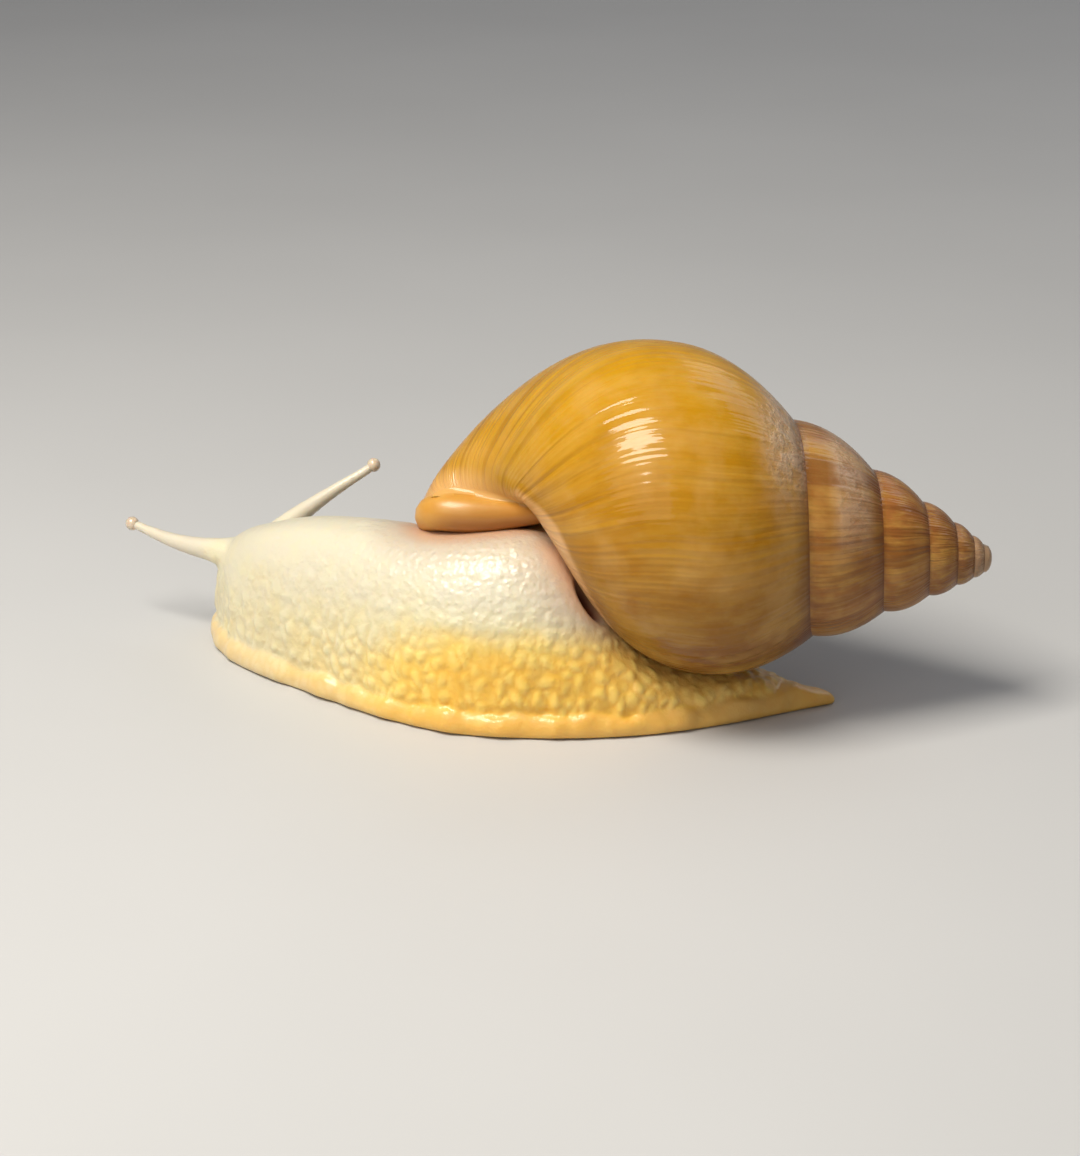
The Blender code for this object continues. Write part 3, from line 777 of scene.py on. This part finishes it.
def paint_and_relief(data, shell):
    """Raises the tubercles, furrows and wrinkles and stores what the flesh's colour follows."""
    points, normals = points_of(data), normals_of(data)
    place = points / MM
    up = place[:, 2]
    along = spine_place(points)
    feeler, mantle = feeler_share(points), mantle_nearness(points)
    under = nearness(points, shell, SHELL_SHADE)
    hollow = hollow_distance(points)
    drift, sway = stretched_clouds(place, DRIFT), stretched_clouds(place, SWAY)
    head, rear = ramp_step(0.86, 0.99, along), ramp_step(0.80, 0.46, along)

    # The fringe at the bottom, the groove above it, the smooth back, and the flank between them.
    groove_level = FRINGE_TOP + FRINGE_SWAY * sway
    fringe = ramp_step(groove_level + 0.5, groove_level - 0.5, up)
    groove = np.exp(-(((up - groove_level - 0.3) / 0.7) ** 2))
    above = 1.0 - ramp_step(groove_level + 0.6, groove_level - 0.4, up)
    back_level = BACK_LEVEL - BACK_FALL * ramp_step(0.65, 0.95, along)
    back = ramp_step(back_level - BACK_BLUR, back_level + BACK_BLUR, up + 4.0 * drift)
    low = ramp_step(back_level - 2.0, back_level - 11.0, up + 2.5 * drift)
    smooth_top = back * ramp_step(0.60, 0.74, along)
    raised = 0.25 + 0.75 * ramp_step(13.0, 22.0, up)
    bare = (1.0 - feeler) * (1.0 - 0.92 * mantle) * ramp_step(0.1, 1.0, up)
    bare *= 1.0 - 0.75 * raised * ramp_step(0.35, 0.75, under)
    bare *= above

    # Tubercles: wide and soft up the flank, smaller and drawn out downwards low on it.
    bent = place + PEBBLE_BEND * np.column_stack([stretched_clouds(place, kind) for kind in BENDS])
    large = pebbles(bent / LARGE_CELL, LARGE_SEED)
    grain = pebbles(bent / np.array(GRAIN_CELLS), GRAIN_SEED)
    net = (1.0 - 0.85 * smooth_top) * bare
    large_size = bare * (1.0 - back) * (1.0 - low) * LARGE_HEIGHT + 0.05 * net * back
    small_size = bare * low * (GRAIN_HEIGHT + GRAIN_DRIFT * drift) * (1.0 - 0.4 * head)
    height = large_size * (large - PEBBLE_FOOT) + small_size * (grain - PEBBLE_FOOT)

    # Furrows down the flank, folds and crinkles, and the fringe's ripples above its groove.
    slant = np.column_stack([place[:, 0] + up, place[:, 1] - up, 3.0 * up])
    wrinkles = FOLD_HEIGHT * stretched_clouds(place, FOLDS)
    wrinkles += (CRINKLE_HEIGHT + HEAD_CRINKLE * head) * clouds(slant / CRINKLE_CELL, CRINKLE_SEED)
    height += bare * FURROW_HEIGHT * ramp_step(16.0, 8.0, up) * stretched_clouds(place, FURROWS)
    height += bare * wrinkles * (1.0 - 0.7 * smooth_top)
    ripples = FRINGE_SWELL + RIPPLE_HEIGHT * stretched_clouds(place, RIPPLES)
    ripples += PLEAT_HEIGHT * stretched_clouds(place, PLEATS)
    hem = (1.0 - feeler) * ramp_step(0.1, 1.2, up)
    height += hem * (fringe * ripples - GROOVE_DEPTH * groove)
    height = relax(height[:, None], edges_of(data), RELIEF_SMOOTHING, 0.4)
    height[:, 0] -= HOLLOW_DEPTH * ramp_step(HOLLOW_REACH, 0.4, hollow)
    moved = points + normals * height * MM
    moved[:, 2] = np.maximum(moved[:, 2], 0.0)
    put_points(data, moved)

    level = up + 3.5 * drift - 3.0 * rear
    gold = ramp_step(25.0, 6.0, level) * (0.26 + 0.74 * rear) * (1.0 - 0.8 * feeler)
    set_attribute(data, "relief", back + (1.0 - back) * (low * grain + (1.0 - low) * (0.35 + 0.65 * large)))
    set_attribute(data, "net", net * (1.0 - 0.45 * low) + 0.15)
    set_attribute(data, "gold", gold)
    set_attribute(data, "fringe", fringe * (1.0 - feeler) * (0.45 + 0.55 * rear))
    set_attribute(data, "mantle", mantle)
    # Painted shade under the shell's overhang, stronger higher up the flank.
    set_attribute(data, "under", under * raised)
    set_attribute(data, "feeler", feeler)
    # Where the painted shadow in the hollow beside the neck lies.
    set_attribute(data, "hollow", ramp_step(2.9, 1.4, hollow))


def build_eye(side, look):
    """A bulb at the feeler's tip, a little wider than the feeler."""
    low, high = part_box("eye_" + side)
    mesh = bmesh.new()
    bmesh.ops.create_uvsphere(mesh, u_segments=40, v_segments=24, radius=0.5)
    place = Matrix.Translation((low + high) / 2.0) @ Matrix.Diagonal((*(high - low), 1.0))
    bmesh.ops.transform(mesh, matrix=place, verts=mesh.verts)
    return finished("snail_eye_" + side, mesh, [look])


# ---------------------------------------------------------------- looks


def nodes_of(name):
    made = bpy.data.materials.new(name)
    made.use_nodes = True
    tree = made.node_tree
    return made, tree, tree.nodes["Principled BSDF"]


def add_node(tree, kind, values=(), **settings):
    """A node with its settings and its inputs, each given as a value or as a socket."""
    node = tree.nodes.new("ShaderNode" + kind)
    for key, value in settings.items():
        setattr(node, key, value)
    for key, value in dict(values).items():
        if isinstance(value, bpy.types.NodeSocket):
            tree.links.new(value, node.inputs[key])
        else:
            node.inputs[key].default_value = value
    return node


def ramp(tree, value, stops):
    node = add_node(tree, "ValToRGB", {"Fac": value})
    points = node.color_ramp.elements
    while len(points) < len(stops):
        points.new(0.5)
    for point, (place, colour) in zip(points, stops):
        point.position = place
        point.color = (*colour, 1.0)
    return node.outputs["Color"]


def grey(level):
    return (level, level, level)


def mixed(tree, share, first, second, blend="MIX"):
    node = add_node(tree, "Mix", data_type="RGBA", blend_type=blend)
    for key, value in ((0, share), (6, first), (7, second)):
        if isinstance(value, bpy.types.NodeSocket):
            tree.links.new(value, node.inputs[key])
        elif key == 0:
            node.inputs[key].default_value = value
        else:
            node.inputs[key].default_value = (*value, 1.0)
    return node.outputs[2]


def maths(tree, operation, first, second, clamp=False):
    return add_node(tree, "Math", {0: first, 1: second}, operation=operation, use_clamp=clamp).outputs[0]


def times(tree, first, second):
    return maths(tree, "MULTIPLY", first, second)


def fade(tree, value, low, high, share=1.0):
    """From 0 where the value is low to a share where it is high."""
    return ramp(tree, value, ((low, grey(0.0)), (high, grey(share))))


def put_colour(tree, shader, colour):
    """The base colour, a little deeper, so that the gloss on it stands out."""
    deeper = mixed(tree, 1.0, colour, grey(COLOUR_DEPTH), "MULTIPLY")
    tree.links.new(deeper, shader.inputs["Base Color"])


def attribute(tree, name):
    return add_node(tree, "Attribute", attribute_name=name).outputs["Fac"]


def set_sockets(shader, values):
    for name, value in values.items():
        shader.inputs[name].default_value = value


def add_bump(tree, shader, strength, distance, height, sockets):
    bump = add_node(tree, "Bump", {"Strength": strength, "Distance": distance, "Height": height})
    for socket in sockets:
        tree.links.new(bump.outputs["Normal"], shader.inputs[socket])


def object_noise(tree, scale, detail, roughness=0.5, vector=None):
    vector = vector or add_node(tree, "TexCoord").outputs["Object"]
    values = {"Vector": vector, "Scale": scale, "Detail": detail, "Roughness": roughness}
    return add_node(tree, "TexNoise", values).outputs["Fac"]


def flesh_look():
    """Wet flesh: cream on the back, honey gold low on the flank, paler on each tubercle, with painted shade
    under the shell's edge.
    """
    made, tree, shader = nodes_of("wet_flesh")
    cloud = maths(tree, "SUBTRACT", object_noise(tree, 260.0, 3.0), 0.5)
    tone = maths(tree, "ADD", attribute(tree, "gold"), times(tree, cloud, 0.35), True)
    grooves, tops = ramp(tree, tone, FLESH_GROOVES), ramp(tree, tone, FLESH_TOPS)
    colour = mixed(tree, attribute(tree, "relief"), grooves, tops)
    colour = mixed(tree, times(tree, attribute(tree, "fringe"), 0.75), colour, FRINGE_COLOUR)
    # Painted shade under the shell, darkest where the flesh meets its edge.
    under = attribute(tree, "under")
    shade = ramp(tree, under, ((0.0, grey(0.0)), (0.5, grey(0.5)), (0.8, grey(0.7))))
    colour = mixed(tree, shade, colour, SHADED_FLESH)
    colour = mixed(tree, fade(tree, under, 0.6, 0.95, 0.9), colour, SHELL_EDGE_SHADE)
    colour = mixed(tree, attribute(tree, "mantle"), colour, MANTLE_COLOUR)
    colour = mixed(tree, times(tree, attribute(tree, "feeler"), 0.85), colour, FEELER_COLOUR)
    # Painted shadow in the hollow under the shell's edge.
    colour = mixed(tree, attribute(tree, "hollow"), colour, HOLLOW_SHADOW)
    put_colour(tree, shader, colour)
    set_sockets(shader, {
        "Roughness": 0.45, "Subsurface Weight": 0.35, "Subsurface Radius": (1.0, 0.62, 0.30),
        "Subsurface Scale": 0.0018, "Coat Weight": 0.40, "Coat Roughness": 0.15,
    })
    # A fine net of wavering cells, and a finer grain over it.
    place = add_node(tree, "TexCoord").outputs["Object"]
    waver = add_node(tree, "TexNoise", {"Vector": place, "Scale": 500.0, "Detail": 2.0}).outputs["Color"]
    waver = add_node(tree, "VectorMath", {0: waver, 1: NET_WAVER}, operation="MULTIPLY").outputs[0]
    waver = add_node(tree, "VectorMath", {0: place, 1: waver}, operation="ADD").outputs[0]
    cells = add_node(tree, "TexVoronoi", {"Vector": waver, "Scale": 900.0}, feature="SMOOTH_F1")
    net = maths(tree, "SUBTRACT", 1.0, cells.outputs["Distance"])
    net = times(tree, net, attribute(tree, "net"))
    skin = maths(tree, "ADD", times(tree, object_noise(tree, 2200.0, 2.0), 0.25), net)
    add_bump(tree, shader, 0.8, 0.00028, skin, ("Normal", "Coat Normal"))
    return made


def shell_look():
    """Golden shell with growth lines, a browner spire, worn patches and dark sutures."""
    made, tree, shader = nodes_of("golden_shell")
    growth = add_node(tree, "UVMap", uv_map="growth").outputs["UV"]
    parts = add_node(tree, "SeparateXYZ", {0: growth})
    turn, across = parts.outputs[0], parts.outputs[1]

    def line_noise(along_scale, across_scale, detail, seed):
        along, aside = times(tree, turn, along_scale), times(tree, across, across_scale)
        place = add_node(tree, "CombineXYZ", {0: along, 1: aside, 2: seed})
        return object_noise(tree, 1.0, detail, 0.55, place.outputs[0])

    age = maths(tree, "ADD", times(tree, turn, 1.0 / WHORLS), 1.0 - LIP_TURN / WHORLS)
    colour = ramp(tree, age, SHELL_AGES)
    for *kind, low, high, share, stain in SHELL_STREAKS:
        colour = mixed(tree, fade(tree, line_noise(*kind), low, high, share), colour, stain)
    marble = fade(tree, object_noise(tree, 75.0, 4.0, 0.6), 0.48, 0.68, 0.45)
    colour = mixed(tree, marble, colour, SHELL_MARBLE)
    spire = maths(tree, "SUBTRACT", 1.0, fade(tree, age, 0.78, 0.83))
    bands = fade(tree, line_noise(24.0, 0.35, 3.0, 6.0), 0.46, 0.58, 0.65)
    colour = mixed(tree, times(tree, bands, spire), colour, SPIRE_BAND)
    colour = mixed(tree, fade(tree, line_noise(46.0, 0.25, 2.0, 12.0), 0.64, 0.72, 0.25), colour, DARK_LINE)
    low_part = fade(tree, times(tree, across, 0.5), 0.66, 0.92)
    folds = fade(tree, line_noise(58.0, 0.4, 3.0, 15.0), 0.50, 0.62, 0.50)
    colour = mixed(tree, times(tree, folds, low_part), colour, BASE_FOLD)
    fine = line_noise(170.0, 1.6, 3.0, 8.0)
    grain = ramp(tree, fine, ((0.3, grey(0.30)), (0.7, grey(0.74))))
    colour = mixed(tree, 0.12, colour, grain, "SOFT_LIGHT")
    patchy = object_noise(tree, 420.0, 4.0, 0.6)
    worn = times(tree, attribute(tree, "worn"), ramp(tree, patchy, ((0.36, grey(0.45)), (0.56, grey(0.90)))))
    colour = mixed(tree, worn, colour, WORN_SHELL)
    # The callus band's paleness is partly a painted sheen along the mouth's edge.
    for name, share, stain in SHELL_PATCHES:
        colour = mixed(tree, times(tree, attribute(tree, name), share), colour, stain)
    suture = ramp(tree, across, ((0.0, grey(0.9)), (0.035, grey(0.45)), (0.13, grey(0.0))))
    colour = mixed(tree, suture, colour, SUTURE_COLOUR)
    put_colour(tree, shader, colour)
    rough = mixed(tree, worn, ramp(tree, fine, ((0.3, grey(0.26)), (0.7, grey(0.36)))), grey(0.42))
    tree.links.new(rough, shader.inputs["Roughness"])
    set_sockets(shader, {
        "Specular IOR Level": 0.08, "Coat Weight": 0.45, "Coat Roughness": 0.02,
        "Subsurface Weight": 0.08, "Subsurface Scale": 0.0015,
    })
    ridges = line_noise(150.0, 0.8, 0.6, 2.0)
    pits = times(tree, times(tree, patchy, worn), 1.6)
    add_bump(tree, shader, 0.65, 0.0004, maths(tree, "ADD", ridges, pits), ("Normal", "Coat Normal"))
    return made


def smooth_look(name, colours, scale, roughness, glow, coat=0.5):
    """A smooth glossy finish with soft clouds of two near colours, that lets some light in."""
    made, tree, shader = nodes_of(name)
    cloud = object_noise(tree, scale, 3.0)
    put_colour(tree, shader, ramp(tree, cloud, ((0.36, colours[0]), (0.64, colours[1]))))
    set_sockets(shader, {
        "Roughness": roughness, "Subsurface Weight": glow, "Subsurface Radius": (1.0, 0.5, 0.2),
        "Subsurface Scale": 0.0015, "Coat Weight": coat, "Coat Roughness": 0.08,
    })
    add_bump(tree, shader, 0.12, 0.0003, cloud, ("Normal",))
    return made


def inner_look():
    return smooth_look("shell_lining", ((0.80, 0.40, 0.11), (0.86, 0.50, 0.18)), 160.0, 0.22, 0.4)


def rolled_lip_look():
    """The rolled lip: pale orange at the nose, darkened by painted shade where it turns into the mouth."""
    made = smooth_look("shell_lip", LIP_COLOURS, 220.0, 0.38, 0.15, 0.15)
    tree = made.node_tree
    shader = tree.nodes["Principled BSDF"]
    parts = add_node(tree, "SeparateXYZ", {0: add_node(tree, "TexCoord").outputs["Object"]})
    nose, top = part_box("shell")[0].x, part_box("mantle_collar")[1].z
    behind = {0: parts.outputs[0], 1: nose + LIP_BEHIND[0], 2: nose + LIP_BEHIND[1]}
    below = {0: parts.outputs[2], 1: top - LIP_BELOW[0], 2: top - LIP_BELOW[1]}
    behind, below = (add_node(tree, "MapRange", values).outputs[0] for values in (behind, below))
    # Painted shade inside the mouth: the lip darkens behind the nose and below the mantle's top.
    plain = shader.inputs["Base Color"].links[0].from_socket
    shaded_lip = tuple(COLOUR_DEPTH * part for part in LIP_SHADE)
    colour = mixed(tree, times(tree, behind, below), plain, shaded_lip)
    tree.links.new(colour, shader.inputs["Base Color"])
    return made


def eye_look():
    return smooth_look("pale_eye", ((0.80, 0.62, 0.44), (0.88, 0.74, 0.56)), 700.0, 0.25, 0.3)


def floor_look():
    made, tree, shader = nodes_of("pale_floor")
    cloud = object_noise(tree, 6.0, 3.0)
    put_colour(tree, shader, ramp(tree, cloud, ((0.3, grey(0.72)), (0.7, grey(0.76)))))
    shader.inputs["Roughness"].default_value = 0.6
    return made


# ---------------------------------------------------------------- studio


def aimed(item, place, target):
    item.location = place
    item.rotation_mode = "QUATERNION"
    item.rotation_quaternion = (Vector(target) - Vector(place)).to_track_quat("-Z", "Y")


def build_camera():
    data = bpy.data.cameras.new("camera")
    data.sensor_width = CAMERA_SENSOR
    data.lens = CAMERA_LENS
    data.clip_start, data.clip_end = 0.01, 20.0
    camera = linked("camera", data)
    tilt = math.radians(CAMERA_ELEVATION)
    away = Vector((0.0, -math.cos(tilt), math.sin(tilt))) * CAMERA_DISTANCE
    aimed(camera, CAMERA_TARGET + away, CAMERA_TARGET)
    bpy.context.scene.camera = camera


def add_light(name, place, target, size, energy, colour):
    data = bpy.data.lights.new(name, "AREA")
    data.shape = "RECTANGLE"
    data.size, data.size_y = size
    data.energy = energy
    data.color = colour
    aimed(linked(name, data), place, target)


def build_studio():
    mesh = bmesh.new()
    bmesh.ops.create_grid(mesh, x_segments=8, y_segments=8, size=FLOOR_SIZE)
    floor = finished("floor", mesh, [floor_look()])
    middle = centre_of("shell")
    key = KEY_SPOT + KEY_SIDE.normalized() * KEY_DISTANCE
    add_light("key_light", key, KEY_SPOT, (0.31, 0.31), 5.4, (1.0, 0.95, 0.86))
    add_light("fill_light", middle + FILL_OFFSET, middle, (1.2, 0.9), 4.2, (1.0, 0.97, 0.92))
    add_light("back_light", middle + BACK_OFFSET, middle, (0.9, 0.6), 2.2, (0.95, 0.97, 1.0))
    world = bpy.data.worlds.new("studio")
    bpy.context.scene.world = world
    world.use_nodes = True
    sky = world.node_tree.nodes["Background"]
    sky.inputs["Color"].default_value = SKY_COLOUR
    sky.inputs["Strength"].default_value = SKY_STRENGTH
    bpy.context.scene.view_settings.view_transform = "Standard"


shell = build_shell(shell_look(), inner_look(), rolled_lip_look())
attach(shell, "root")
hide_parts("shell")

skin = build_skin(flesh_look(), shell)
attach(skin, "root")
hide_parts("mantle_collar", *FLESH, *FEET, *FEELERS)

eye = eye_look()
for side in ("left", "right"):
    bulb = build_eye(side, eye)
    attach(bulb, "root")
    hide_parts("eye_" + side)

build_studio()
build_camera()
